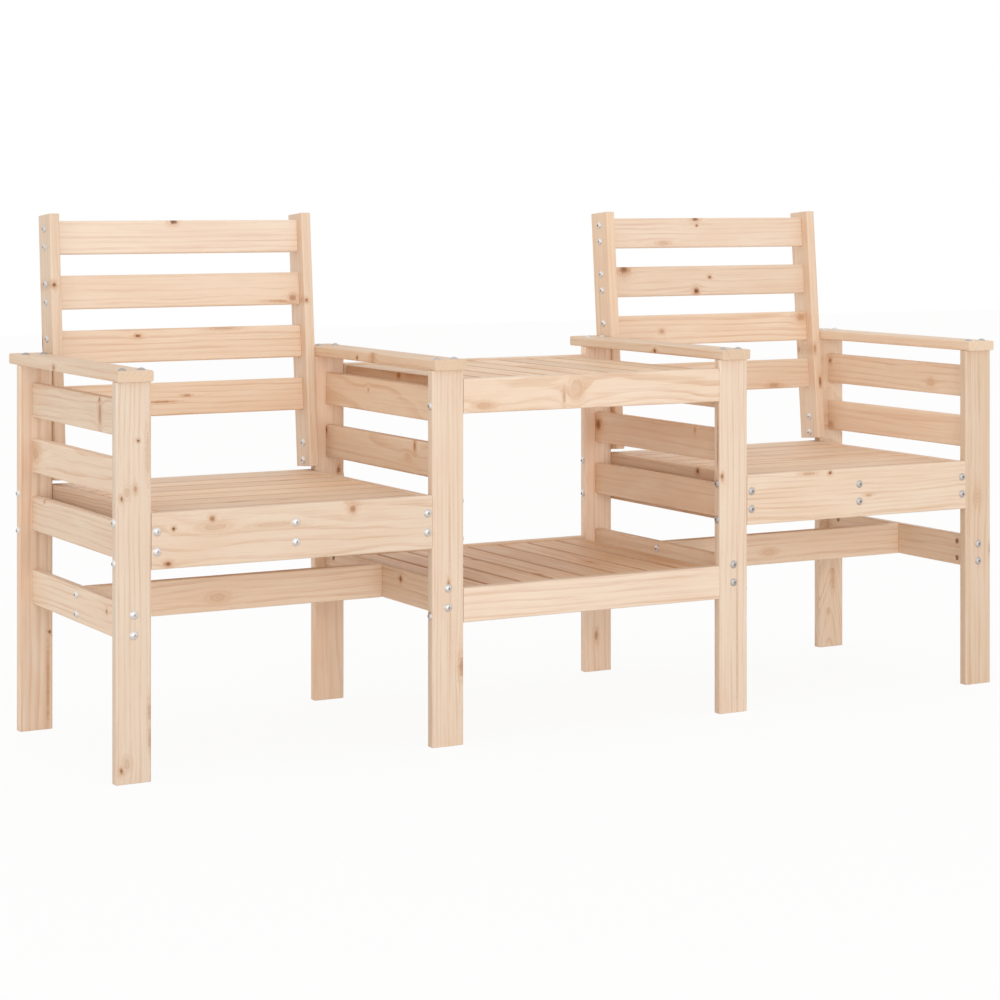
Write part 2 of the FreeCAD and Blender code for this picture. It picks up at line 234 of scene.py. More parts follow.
# %% The years and their late wood
# Wet and dry spells take turns over 14 mm of growth, and shift the rings by up to 9 mm.
SPELL = 14
YEAR_SHIFT = 9.0
years = add_node(
    tree, "Math", {0: radius.outputs["Value"], 1: 1 / SPELL, 2: given["Seed"]},
    operation="MULTIPLY_ADD")
years = add_node(
    tree, "TexNoise", {"W": years, "Scale": 1.0, "Detail": 1.0}, noise_dimensions="1D")
uneven = add_node(
    tree, "Math", {0: years.outputs[0], 1: YEAR_SHIFT, 2: radius.outputs["Value"]},
    operation="MULTIPLY_ADD")
rings = add_node(tree, "Math", {0: uneven, 1: given["Ring width"]}, operation="DIVIDE")
year = add_node(tree, "Math", {0: rings}, operation="FLOOR")
season = add_node(tree, "Math", {0: rings}, operation="FRACT")
autumn = add_node(
    tree, "MapRange", {"Value": season, 1: 0.35, 2: 0.9}, interpolation_type="SMOOTHSTEP")
winter = add_node(
    tree, "MapRange", {"Value": season, 1: 0.92, 2: 1.0, 3: 1.0, 4: 0.0},
    interpolation_type="SMOOTHSTEP")
late = add_node(tree, "Math", {0: autumn, 1: winter}, operation="MULTIPLY")
weight = add_node(tree, "TexWhiteNoise", {"W": year}, noise_dimensions="1D")
weight = add_node(tree, "MapRange", {"Value": weight.outputs["Value"], 3: 0.35, 4: 1.0})
late = add_node(tree, "Math", {0: late, 1: weight}, operation="MULTIPLY")
close_group(tree, Late_wood=late)

# %% [markdown]
# ## Planed pine
# Pine straight from the planer is pale and warm, and its colour is a pile of layers: spring wood,
# late wood, resin, knots with their halo and heart, sawn ends, and painted shade along the gaps
# between slats. Each has one colour, and the group below mixes them. It is one group for all
# boards, because what differs between boards is then a number or two, and not a graph.

# %% Group: planed pine
PINE = {
    "spring": linear("EDD6BE"),
    "autumn": linear("CC9A70"),
    "resin": linear("E0B793"),
    "knot": linear("B57B4B"),
    "heart": linear("5E3A24"),
    "halo": linear("D0A076"),
    "end": linear("DCC3A9"),
    # Painted shade: the colour that the long edges of slats take in the gaps between them.
    "seam": linear("B48460"),
}
tree, given = new_group(
    "Planed pine",
    {"Place": (0.0, 0.0, 0.0), "Grain": (0.0, 0.0, 0.0), "Near": FAR, "Dark": 0.0,
     "Board": 0.0, "Seed": 0.0, "Pith": (0.0, 20.0, 60.0), "Spread": 0.0, "Slope": 0.02,
     "Wander": 1.0, "Ring width": 5.0, "Figure": 0.6, "Tone and light": 1.0, "Saturation": 1.0,
     "Warmth": 0.3, "Gap shade and spread": 0.0, "Loose knots": 0.0, "Half width": 28.5, "Half depth": 9.0,
     "End": 0.0},
    {"Color": "Color", "Roughness": "Float", "Height": "Float"})
print("colours of pine:", ", ".join(PINE))

# %% [markdown]
# The boards of a row come out of different logs. White noise of the board's number is its luck: it
# picks a stretch of a log four metres long, moves the pith, and later makes the tone.

# %% Each board's own luck
LOG_LENGTH = 4000.0
draw = add_node(tree, "CombineXYZ", {"X": given["Board"], "Y": given["Seed"]})
luck = add_node(tree, "TexWhiteNoise", {"Vector": draw}, noise_dimensions="2D")
luck = add_node(
    tree, "VectorMath", {0: luck.outputs["Color"], 1: (0.5, 0.5, 0.5)}, operation="SUBTRACT")
log_shift = add_node(
    tree, "VectorMath", {0: luck, 1: (LOG_LENGTH, 0.0, 0.0), 2: given["Grain"]},
    operation="MULTIPLY_ADD")
pith = add_node(tree, "VectorMath", {0: luck, "Scale": given["Spread"]}, operation="SCALE")
pith = add_node(
    tree, "VectorMath", {0: pith, 1: (0.0, 1.0, 0.5), 2: given["Pith"]},
    operation="MULTIPLY_ADD")
luck_parts = add_node(tree, "SeparateXYZ", {0: luck})
print("length of a log:", LOG_LENGTH * MM, "m")

# %% [markdown]
# Boards that nothing is said of get loose knots, 1.6 to 5.5 mm in radius. A Voronoi texture holds
# about one for each 110 mm square of the face, and most of them are left out. Placing them by hand
# would take long and show nothing more.

# %% Loose knots
KNOT_CELL = 110.0
cell_place = add_node(
    tree, "VectorMath",
    {0: log_shift, 1: (1 / KNOT_CELL, 1 / KNOT_CELL, 0.0), 2: draw},
    operation="MULTIPLY_ADD")
cell = add_node(
    tree, "TexVoronoi", {"Vector": cell_place, "Scale": 1.0}, voronoi_dimensions="2D")
cell_luck = add_node(tree, "SeparateColor", {0: cell.outputs["Color"]})
knot_size = add_node(tree, "MapRange", {"Value": cell_luck.outputs[0], 3: 1.6, 4: 5.5})
loose = add_node(
    tree, "Math", {0: cell.outputs["Distance"], 1: KNOT_CELL}, operation="MULTIPLY")
loose = add_node(tree, "Math", {0: loose, 1: knot_size}, operation="DIVIDE")
missing = add_node(
    tree, "Math", {0: cell_luck.outputs[1], 1: given["Loose knots"]}, operation="GREATER_THAN")
loose = add_node(tree, "Math", {0: missing, 1: FAR, 2: loose}, operation="MULTIPLY_ADD")
near = add_node(tree, "Math", {0: given["Near"], 1: loose}, operation="MINIMUM")
nearest = add_node(tree, "Math", {0: loose, 1: given["Near"]}, operation="LESS_THAN")
dark = add_node(tree, "Mix", {"Factor": nearest, "A": given["Dark"], "B": 0.8})
print("cell of a loose knot:", KNOT_CELL, "mm")

# %% [markdown]
# The rings swell towards a branch by a few millimetres, which bends the figure beside a knot. A
# bell curve of how near the knot is does that before the rings are worked out.

# %% The rings of this board
SWELL = 5.0
swell = add_node(tree, "Math", {0: near, 1: near}, operation="MULTIPLY")
# This falls to a third at 3.5 times the reach of the knot.
swell = add_node(tree, "Math", {0: swell, 1: -0.09}, operation="MULTIPLY")
swell = add_node(tree, "Math", {0: swell}, operation="EXPONENT")
bulge = add_node(tree, "CombineXYZ", {"Z": swell})
bulge = add_node(
    tree, "VectorMath", {0: bulge, 1: (0.0, 0.0, SWELL), 2: log_shift},
    operation="MULTIPLY_ADD")
late = add_node(
    tree, "Group",
    {"Grain": bulge, "Pith": pith, "Slope": given["Slope"], "Wander": given["Wander"],
     "Ring width": given["Ring width"], "Seed": given["Seed"]},
    node_tree=bpy.data.node_groups["Growth rings"])
print("rings swell by", SWELL, "mm at a knot")

# %% [markdown]
# Fibres run along the grain, streaks of denser wood run further, and resin hangs in slow clouds.
# All three are noise that is stretched along the board. Fibres are about 0.04 mm thick, which no
# picture of a whole bench shows, so they are drawn half a millimetre wide.

# %% Fibres, streaks and clouds
noises = []
for source, size, detail, roughness in (
        (bulge, (24, 0.5, 0.5), 3.0, 0.6),
        (bulge, (140, 3.2, 3.2), 2.0, 0.5),
        (log_shift, (170, 45, 45), 3.0, 0.55)):
    stretched = add_node(tree, "VectorMath", {0: source, 1: per(*size)}, operation="MULTIPLY")
    noises.append(add_node(
        tree, "TexNoise",
        {"Vector": stretched, "Scale": 1.0, "Detail": detail, "Roughness": roughness}))
fibre, streak, cloud = noises
print("stretched noises:", len(noises))

# %% [markdown]
# Now the first colours. Late wood darkens the spring wood, and fibres and streaks add or take a
# little. Rings fade in and out along a board, as its face comes and goes through them. Resin warms
# the wood in its clouds.

# %% Spring wood, late wood and resin
cloud_parts = add_node(tree, "SeparateColor", {0: cloud.outputs["Color"]})
fade = add_node(
    tree, "MapRange", {"Value": cloud_parts.outputs[1], 1: 0.36, 2: 0.62, 3: 0.4, 4: 1.15})
figure = add_node(tree, "Math", {0: given["Figure"], 1: fade}, operation="MULTIPLY")
depth = add_node(tree, "Math", {0: late, 1: figure}, operation="MULTIPLY")
fibre_dark = add_node(
    tree, "MapRange", {"Value": fibre.outputs[0], 1: 0.3, 2: 0.7, 3: -0.12, 4: 0.12})
streak_dark = add_node(
    tree, "MapRange", {"Value": streak.outputs[0], 1: 0.3, 2: 0.7, 3: -0.16, 4: 0.16})
depth = add_node(tree, "Math", {0: depth, 1: fibre_dark}, operation="ADD")
depth = add_node(tree, "Math", {0: depth, 1: streak_dark}, operation="ADD", use_clamp=True)
colour = add_node(
    tree, "Mix", {"Factor": depth, "A": PINE["spring"], "B": PINE["autumn"]}, data_type="RGBA")
warm = add_node(tree, "MapRange", {"Value": cloud.outputs[0], 1: 0.35, 2: 0.7})
warm = add_node(
    tree, "Math", {0: warm, 1: given["Warmth"]}, operation="MULTIPLY", use_clamp=True)
colour = add_node(
    tree, "Mix", {"Factor": warm, "A": colour, "B": PINE["resin"]}, data_type="RGBA")
print("nodes so far:", len(tree.nodes))

# %% [markdown]
# Resin stains the wood round a knot, its body is red-brown and its heart is dark. A pale knot was
# a living twig: instead of a dark heart it shows the rings of its branch, which a ping-pong of how
# near it is draws. No knot has a clean oval outline, so that distance is disturbed by a few tenths.

# %% The outline of a knot and the rings of its branch
ragged_place = add_node(
    tree, "VectorMath", {0: given["Grain"], 1: per(6, 3, 3)}, operation="MULTIPLY")
ragged = add_node(
    tree, "TexNoise", {"Vector": ragged_place, "Scale": 1.0, "Detail": 2.0, "Roughness": 0.6})
ragged = add_node(
    tree, "MapRange", {"Value": ragged.outputs[0], 1: 0.3, 2: 0.7, 3: 0.65, 4: 1.35})
shape = add_node(tree, "Math", {0: near, 1: ragged}, operation="MULTIPLY")
twig = add_node(tree, "Math", {0: near, 1: 2.6, 2: ragged}, operation="MULTIPLY_ADD")
twig = add_node(tree, "Math", {0: twig, 1: 1.0}, operation="PINGPONG")
print("nodes so far:", len(tree.nodes))

# %% [markdown]
# The layers of a knot go on from the widest to the smallest. Each is strongest in the middle and
# fades out between two distances, where 1 is the rim of the knot. A dark knot has more of a halo
# than a pale one, and far more of a heart.

# %% The colours of a knot
halo_weight = add_node(tree, "MapRange", {"Value": dark, 3: 0.3, 4: 1.0})
heart_weight = add_node(tree, "Math", {0: dark, 1: 3.0}, operation="POWER")
layers = []
for layer, weight, away, start, stop, most in (
        ("halo", halo_weight, shape, 0.6, 3.0, 0.5),
        ("halo", twig, near, 0.9, 2.2, 0.35),
        ("knot", dark, shape, 0.5, 1.3, 1.0),
        ("heart", heart_weight, shape, 0.15, 0.8, 0.95)):
    fading = add_node(
        tree, "MapRange", {"Value": away, 1: start, 2: stop, 3: most, 4: 0.0},
        interpolation_type="SMOOTHSTEP")
    layers.append(add_node(tree, "Math", {0: fading, 1: weight}, operation="MULTIPLY"))
    colour = add_node(
        tree, "Mix", {"Factor": layers[-1], "A": colour, "B": PINE[layer]}, data_type="RGBA")
in_knot = layers[2]
print("layers of a knot:", len(layers))

# %% [markdown]
# A saw leaves end grain matt and a little darker, and its arcs faint. The rounded edges are a
# little lighter and smoother. Where slats lie side by side, their long edges are darkened as
# painted shade of the gaps between them. An edge is where the place is near the rim of the board
# both across and through it, so no mask has to be painted.

# %% Sawn ends, rounded edges and painted gap shade
EDGE = 3.5
end = add_node(tree, "MapRange", {"Value": given["End"], 1: 0.5, 2: 0.9, 4: 0.55})
colour = add_node(
    tree, "Mix", {"Factor": end, "A": colour, "B": PINE["end"]}, data_type="RGBA")
place_parts = add_node(tree, "SeparateXYZ", {0: given["Place"]})
edge_masks = []
for axis, half in (("Y", "Half width"), ("Z", "Half depth")):
    away = add_node(tree, "Math", {0: place_parts.outputs[axis]}, operation="ABSOLUTE")
    inner = add_node(tree, "Math", {0: given[half], 1: EDGE}, operation="SUBTRACT")
    edge_masks.append(add_node(
        tree, "MapRange", {"Value": away, 1: inner, 2: given[half]},
        interpolation_type="SMOOTHSTEP"))
edge = add_node(tree, "Math", {0: edge_masks[0], 1: edge_masks[1]}, operation="MULTIPLY")
# Painted shade: the long edges of slats in a row darken towards the colour of the gaps.
seam = add_node(tree, "Math", {0: edge, 1: given["Gap shade and spread"]}, operation="MULTIPLY")
colour = add_node(
    tree, "Mix", {"Factor": seam, "A": colour, "B": PINE["seam"]}, data_type="RGBA")
print("edge masks reach over", EDGE, "mm")

# %% [markdown]
# Last come the board's tone, which also holds painted light and shade, and what isn't colour.
# Slats that lie side by side differ most. A planer leaves late wood a little proud and polished,
# which the height and the roughness follow, and a knot dries a little below the face.

# %% Tone, roughness and height
spread = add_node(tree, "Math", {0: given["Gap shade and spread"], 1: 0.12, 2: 0.07}, operation="MULTIPLY_ADD")
# Painted light and shade: a board's tone and saturation also stand for how light falls on it.
tone_and_light = add_node(
    tree, "Math", {0: luck_parts.outputs["Z"], 1: spread, 2: given["Tone and light"]},
    operation="MULTIPLY_ADD")
tone_and_light = add_node(tree, "Math", {0: edge, 1: 0.05, 2: tone_and_light}, operation="MULTIPLY_ADD")
colour = add_node(
    tree, "HueSaturation",
    {"Value": tone_and_light, "Saturation": given["Saturation"], "Color": colour})
rough = add_node(tree, "MapRange", {"Value": fibre.outputs[0], 3: 0.62, 4: 0.5})
for source, change in ((late, -0.08), (edge, -0.06), (given["End"], 0.1)):
    rough = add_node(tree, "Math", {0: source, 1: change, 2: rough}, operation="MULTIPLY_ADD")
height = fibre.outputs[0]
for source, change in ((late, 0.6), (in_knot, -0.8)):
    height = add_node(tree, "Math", {0: source, 1: change, 2: height}, operation="MULTIPLY_ADD")
close_group(tree, Color=colour, Roughness=rough, Height=height)

# %% [markdown]
# ## From a board to its material
# A board's grain runs along its length. Its local frame has x along, y across and z through, in
# millimetres from its middle, and a Mapping node of the texture kind turns the place in the room
# into that frame. The leaning parts of the backrest lean their frames as well.

# %% Board frames
LEAN = math.radians(4.83)
X, Y, Z = Vector((1, 0, 0)), Vector((0, 1, 0)), Vector((0, 0, 1))
TIP = Matrix.Rotation(-LEAN, 3, "X")
FRAMES = {
    "_leg": (Z, X), "_armrest": (Y, X),
    "_side_slats": (Y, Z), "_side_stretcher": (Y, Z),
    "_seat_runner": (Y, Z), "_seat_rail": (Y, Z), "seat_cleats": (Y, Z),
    "_centre_stretcher": (X, Z), "_board": (X, Z), "_apron": (X, Z), "_cleats": (X, Z),
    "_seat_slats": (X, Y), "table_slats": (Y, X), "shelf_slats": (Y, X),
    "_back_post": (TIP @ Z, TIP @ Y), "_back_slat": (X, TIP @ Z),
}
ROW_COUNTS = {"_side_slats": 3, "_seat_slats": 7, "table_slats": 8, "shelf_slats": 8}
SLAT_WIDTH = 57.0


def board_frame(name):
    """The directions along and across a board, by the end or the middle of its node's name."""
    key = next(key for key in FRAMES if name.endswith(key) or key + "_" in name)
    return key, FRAMES[key]


print("kinds of board:", len(FRAMES), "of which in rows:", len(ROW_COUNTS))

# %% [markdown]
# ## Boards one by one
# A board is described as a joiner would: where the pith was, how wide its rings are, how dark and
# how warm it is, and where its knots are. How dark and how colourful it is also holds painted light
# and shade. Boards that nothing is said of get a pith and a tone from their number. Pictures of
# real boards would look right from one side only, and words like these hold on every face.

# %% Words for boards and knots
def knot(along, across, half_length, half_width, dark=1.0, board=0):
    """A branch out of a board's face, in mm from the board's middle. A pale one is a swirl."""
    return {"Middle": (along, across, 0.0), "Reach": (half_length, half_width, ENDLESS),
            "Bend": (0.0, 1.0, 0.0), "Core": dark, "On board": board}


def edge_knot(along, through, half_length, half_height, dark=1.0, board=0):
    """A branch out of a board's narrow edge, in mm as well."""
    return {"Middle": (along, 0.0, through), "Reach": (half_length, ENDLESS, half_height),
            "Bend": (0.0, 0.0, 1.0), "Core": dark, "On board": board}


def wood(pith, ring_width, figure=0.6, tone_and_light=1.0, saturation_and_shade=1.0, slope=0.0, wander=1.0,
         warmth=0.3):
    """
    How a board was cut and grew: where the pith lies across and through it and how wide its
    rings are, both in mm, how strong they show, how light and how colourful the board is, which
    also holds painted light and shade, how the pith climbs and wanders along it, and how warm its
    resin is.
    the pith climbs and wanders along it, and how warm its resin is.
    """
    return {"Pith": (0.0, *pith), "Ring width": ring_width, "Figure": figure, "Tone and light": tone_and_light,
            "Saturation": saturation_and_shade, "Slope": slope, "Wander": wander, "Warmth": warmth}


# %% [markdown]
# The legs stand upright, with the grain along them, and their knots are far apart. The left outer
# front leg is the nearest to the eye, so it is described most fully.

# %% Legs
LEGS = {
    "left_outer_front_leg": (
        wood((-120, 50), 8.0, figure=0.45, tone_and_light=0.91, saturation_and_shade=0.9, slope=0.01, wander=0.8),
        [knot(216, 7, 2.6, 2.6), knot(137, -11, 8, 4, 0.22), knot(129, -18, 4.5, 3, 0.85),
         knot(142, 1, 6, 3.5, 0.5), knot(193, 22, 32, 4, 0.15), knot(-274, -11, 8, 5, 0.2),
         knot(-284, -18, 5, 3.5, 0.85), knot(-199, 25, 15, 3, 0.4), knot(-241, 26, 14, 3, 0.4)]),
    "left_outer_rear_leg": (
        wood((-100, 40), 12.0, figure=0.68, tone_and_light=1.05, saturation_and_shade=0.93, slope=0.01, wander=0.8,
             warmth=0.6),
        [knot(-143, 23, 3.2, 3.2), knot(-225, 20, 66, 2.6, 0.42)]),
    "left_inner_front_leg": (
        wood((130, 30), 7.0, figure=0.48, tone_and_light=0.97, saturation_and_shade=0.95, wander=0.5),
        [knot(-40, 1, 6, 2.5, 0.6), knot(-178, 25, 17, 5, 0.5), knot(40, 3, 60, 1, 0.2),
         knot(-130, 4, 60, 1, 0.15)]),
    "left_inner_rear_leg": (
        wood((90, 40), 11.0, figure=0.48, tone_and_light=1.13, saturation_and_shade=0.92, slope=0.02, wander=0.8,
             warmth=0.5),
        [knot(102, 18, 8, 4, 0.8)]),
    "right_inner_front_leg": (
        wood((-110, 40), 9.5, figure=0.48, tone_and_light=1.005, saturation_and_shade=0.92, slope=0.01, wander=0.8),
        [knot(104, -24, 6, 3, 0.8), edge_knot(157, -2, 40, 1.6, 0.6),
         knot(-180, 7, 115, 1.3, 0.25)]),
    "right_inner_rear_leg": (
        wood((120, 60), 9.5, figure=0.44, tone_and_light=1.13, saturation_and_shade=0.87, wander=0.8),
        [knot(-239, -5, 10, 4, 0.6)]),
    "right_outer_front_leg": (
        wood((-150, 60), 11.0, figure=0.39, tone_and_light=0.85, saturation_and_shade=1.05, wander=0.7),
        [knot(35, -3, 11, 6, 0.06), knot(-60, 27, 9, 2, 0.7)]),
    "right_outer_rear_leg": (
        wood((-5, 51), 6.5, figure=0.48, tone_and_light=0.97, slope=-0.2, wander=0.9),
        [knot(-170, 4, 22, 4, 0.2), knot(-236, -6, 5, 3, 0.2)]),
}
print("legs described:", len(LEGS))

# %% [markdown]
# The armrests lie flat, so the eye sees their narrow long edge, and most of their knots come out of
# it. The side slats are a row of three. They are numbered from 0 at the bottom, and a knot says
# which board of the row it is on.

# %% Armrests and side frames
SIDES = {
    "left_outer_armrest": (
        wood((60, 50), 8.0, figure=0.44, tone_and_light=0.98, saturation_and_shade=1.05),
        [edge_knot(33, 3, 5, 4.5, 0.7)]),
    "left_inner_armrest": (
        wood((70, 60), 8.0, figure=0.44, tone_and_light=0.965, saturation_and_shade=1.12, warmth=0.5),
        [edge_knot(30, 3, 3.2, 3.2, 0.9), knot(-29, -27, 9, 2, 0.5)]),
    "right_inner_armrest": (
        wood((-80, 50), 8.0, figure=0.48, tone_and_light=0.965, saturation_and_shade=1.06),
        [edge_knot(-40, 3.9, 4, 3.4)]),
    "right_outer_armrest": (wood((60, 70), 9.5, figure=0.39, tone_and_light=1.06), []),

    "left_outer_side_slats": (
        wood((60, 60), 8.0, slope=0.02, wander=1.2),
        [knot(-107, 1, 6, 15, 0.55, board=2), knot(-105, 12, 3, 6, 0.8, board=2),
         knot(195, 7, 15, 11, 0.3, board=1), knot(153, 26, 3, 3, 0.8)]),
    "left_outer_side_stretcher": (
        wood((60, 60), 9.5, figure=0.48, tone_and_light=1.03, slope=0.02),
        [knot(-137, 8, 3.5, 3.2, 0.8)]),
    "left_inner_side_slats": (
        wood((-50, 50), 8.0, figure=0.52, tone_and_light=0.99, saturation_and_shade=1.08, slope=0.03, wander=1.2),
        [knot(44, 8, 3, 3, 0.5, board=2), knot(-130, 21, 4, 10, 0.7, board=1),
         knot(-105, 2, 9, 6, 0.05, board=1), knot(210, 21, 3, 7, 0.9, board=1)]),
    "left_inner_side_stretcher": (
        wood((-60, 50), 9.5, figure=0.59, tone_and_light=1.03, saturation_and_shade=1.05, wander=1.2),
        [knot(-78, 11.5, 5, 5, 0.9)]),
    "right_inner_side_slats": (
        wood((90, 60), 12.0, figure=0.34, tone_and_light=1.09, saturation_and_shade=1.05, wander=1.2, warmth=0.5),
        [knot(203, 7, 11, 10, 0.85, board=1), knot(-124, 22, 3, 6, 0.5, board=1)]),
    "right_inner_side_stretcher": (
        wood((90, 60), 11.0, figure=0.48, tone_and_light=1.08, saturation_and_shade=1.05),
        []),
    "right_outer_side_slats": (
        wood((80, 50), 11.0, figure=0.48, tone_and_light=1.06),
        [knot(208, 15, 4, 5, 0.8, board=2), knot(-105, -8, 9, 6, 0.1, board=2),
         knot(209, -16, 9, 6, 0.3, board=1)]),
    "right_outer_side_stretcher": (
        wood((80, 50), 9.5, figure=0.48, tone_and_light=1.06),
        [knot(20, 20, 5, 3, 0.6)]),
}
print("side boards described:", len(SIDES))

# %% [markdown]
# The front boards of the seats are the widest. The left one came from a crooked trunk with wide
# rings, so its figure waves. The slats of a seat are numbered from the front.

# %% Seats and stretchers
SEATS = {
    "left_seat_front_board": (
        wood((60, 80), 14.0, figure=0.57, tone_and_light=0.92, saturation_and_shade=0.97, slope=0.05, wander=2.2),
        [knot(-142, 29, 4.5, 4.5, 0.7), knot(-138, 17, 19, 5, 0.15), knot(-206, 17.5, 3, 3),
         knot(-215, -35, 6, 4, 0.9), knot(99, 30, 5.5, 6.5, 0.65), knot(-40, 14, 30, 3, 0.12)]),
    "right_seat_front_board": (
        wood((110, 60), 8.0, figure=0.44, tone_and_light=0.98, saturation_and_shade=0.98, slope=0.01),
        [knot(-65, 38, 4, 3, 0.9), knot(-111, 39, 14, 2.5, 0.4), knot(20, -6, 6, 2.4, 0.45)]),
    "right_inner_seat_rail": (
        wood((90, 60), 9.5, figure=0.48, saturation_and_shade=1.05),
        [knot(-78, 36, 5, 5)]),
    "left_seat_slats": (
        wood((60, 60), 11.0, figure=0.68, tone_and_light=1.04, saturation_and_shade=1.06),
        [knot(124, 21, 15, 3, 0.6, board=4), knot(-75, 24, 17, 3, 0.6), knot(5, 15, 13, 2.5, 0.6)]),
    "right_seat_slats": (
        wood((60, 60), 11.0, figure=0.68, tone_and_light=1.07, saturation_and_shade=1.03),
        [knot(-12, 15, 26, 2, 0.5, board=3)]),
    "left_centre_stretcher": (
        wood((120, 60), 11.0, figure=0.48, tone_and_light=1.04, wander=1.2),
        [knot(-38, -6, 15, 7, 0.12)]),
    "right_centre_stretcher": (
        wood((120, 60), 11.0, figure=0.48, tone_and_light=1.08, wander=1.2),
        [knot(-38, -6, 14, 6, 0.1)]),
}
print("seat boards described:", len(SEATS))

# %% [markdown]
# The slats of the table and its shelf are numbered from the left. They look warmer than the rest,
# so they have the highest saturation, which is painted light and shade on the lit top and the
# shaded shelf, and a branch makes a wide pale swirl in the apron.

# %% Table and shelf
TABLE = {
    "table_front_apron": (
        wood((40, 60), 10.0, figure=0.65, tone_and_light=0.98, saturation_and_shade=0.96, slope=0.02, wander=2.2),
        [knot(-37, 4.6, 11, 16, 0.08), knot(-61, -5, 3, 9, 0.4), knot(-214, -17, 15, 6, 0.2)]),
    "shelf_front_apron": (
        wood((130, 50), 12.0, figure=0.48, saturation_and_shade=0.9, slope=0.01, wander=0.8),
        []),
    "table_slats": (
        wood((60, 60), 8.0, figure=0.68, tone_and_light=0.98, saturation_and_shade=1.18),
        [edge_knot(11, -3.7, 6, 5, 0.7)]),
    "shelf_slats": (
        wood((60, 60), 11.0, figure=0.59, saturation_and_shade=1.22, warmth=0.5),
        [knot(-59, 1.5, 13, 3, 0.7, board=5), knot(-143, -24, 13, 3, 0.6, board=3),
         knot(65, 24, 11, 3, 0.6, board=2)]),
}
print("table boards described:", len(TABLE))

# %% [markdown]
# The posts of the backrests show their narrow edge to the front, and the slats their face.

# %% Backrests
BACKRESTS = {
    "left_outer_back_post": (
        wood((50, 40), 8.0, figure=0.39, tone_and_light=0.96),
        [edge_knot(104, 3.9, 5, 4, 0.9), knot(7, 24, 11, 3, 0.9)]),
    "left_inner_back_post": (
        wood((50, 60), 8.0, figure=0.39, tone_and_light=0.985),
        [edge_knot(69, 4.7, 4, 3.4, 0.8)]),
    "right_outer_back_post": (
        wood((50, 60), 8.0, figure=0.39, tone_and_light=1.03),
        [edge_knot(-114, -3.1, 10, 3, 0.8), edge_knot(-49, 5.5, 8, 3, 0.5),
         knot(-49, 20, 6, 4, 0.5)]),
    "right_inner_back_post": (wood((50, 60), 8.0, figure=0.39, tone_and_light=1.02, saturation_and_shade=1.05), []),
    "left_back_slat_1": (
        wood((120, 50), 9.5, figure=0.44, tone_and_light=1.02, saturation_and_shade=0.85, wander=0.8),
        [knot(-11, 26, 7, 4.5, 0.95)]),
    "left_back_slat_2": (
        wood((-120, 50), 11.0, figure=0.44, tone_and_light=1.03, saturation_and_shade=0.96, slope=0.01, wander=1.4),
        [knot(211, -17, 7, 6, 0.6), knot(186, -22, 24, 2, 0.4)]),
    "left_back_slat_3": (
        wood((110, 50), 11.0, figure=0.59, tone_and_light=1.04, wander=0.9),
        [knot(-83, 16.5, 6, 2.6, 0.9), knot(76, 27, 24, 3.5, 0.3)]),
    "left_back_slat_4": (
        wood((100, 60), 9.0, figure=0.54, saturation_and_shade=1.05, wander=1.1),
        [knot(3, 4.5, 8, 2, 0.5), knot(-43, -4.5, 22, 1.8, 0.6)]),
    "right_back_slat_1": (
        wood((-60, 60), 9.5, figure=0.44, tone_and_light=1.06, saturation_and_shade=0.9, slope=0.02),
        [knot(-28, 26, 8, 4, 0.9), knot(-26, 15, 2.8, 2.6, 0.9), knot(-105, -20, 13, 4, 0.15)]),
    "right_back_slat_2": (
        wood((-100, 50), 9.5, figure=0.48, saturation_and_shade=0.95, slope=0.01, wander=1.1),
        [knot(-196, 24, 11, 9, 0.85), knot(-1, 6, 3.4, 3), knot(-34, -20, 6, 6)]),
    "right_back_slat_3": (
        wood((100, 50), 12.0, figure=0.54, tone_and_light=1.035),
        [knot(-117, -3, 6, 4, 0.45), knot(211, 17, 9, 8, 0.45)]),
    "right_back_slat_4": (wood((100, 50), 9.5, figure=0.44), [knot(140, -22, 13, 4, 0.4)]),
}
BOARDS = LEGS | SIDES | SEATS | TABLE | BACKRESTS
print("knots placed by hand:", sum(len(knots) for _, knots in BOARDS.values()))

# %% [markdown]
# ## A material for each board
# The groups come together here. First the place in the room becomes a place in the board of its
# row, and each knot in turn bends the grain that the last one left. Where the face looks along the
# grain, it is a sawn end.

# %% The grain of a board, past its knots
def board_grain(tree, name):
    """Adds the row and the knots of a node, and gives what planed pine takes from them."""
    key, (along, across) = board_frame(name)
    low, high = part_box(name)
    count = ROW_COUNTS.get(key, 1)
    width = abs((high - low).dot(across)) / MM
    pitch = (width - SLAT_WIDTH) / (count - 1) if count > 1 else LONE_PITCH
    coordinates = add_node(tree, "TexCoord")
    turn = Matrix((along, across, along.cross(across))).transposed().to_euler()
    place = add_node(
        tree, "Mapping",
        {"Vector": coordinates.outputs["Object"], "Location": (low + high) / 2,
         "Rotation": turn, "Scale": (MM, MM, MM)}, vector_type="TEXTURE")
    row = add_node(
        tree, "Group", {"Place": place, "Boards": count, "Pitch": pitch},
        node_tree=bpy.data.node_groups["Board of a row"])
    known = {"Grain": row.outputs["Place"], "Near": None, "Dark": None}
    board = {"Board": row.outputs["Board"]}
    for features in BOARDS.get(name, ({}, []))[1]:
        bent = add_node(
            tree, "Group", {**known, **board, **features},
            node_tree=bpy.data.node_groups["Pine knot"])
        known = {label: bent.outputs[label] for label in known}
    facing = add_node(
        tree, "VectorMath", {0: coordinates.outputs["Normal"], 1: along},
        operation="DOT_PRODUCT")
    end = add_node(tree, "Math", {0: facing.outputs["Value"]}, operation="ABSOLUTE")
    return {**known, **board, "Place": row.outputs["Place"], "End": end}


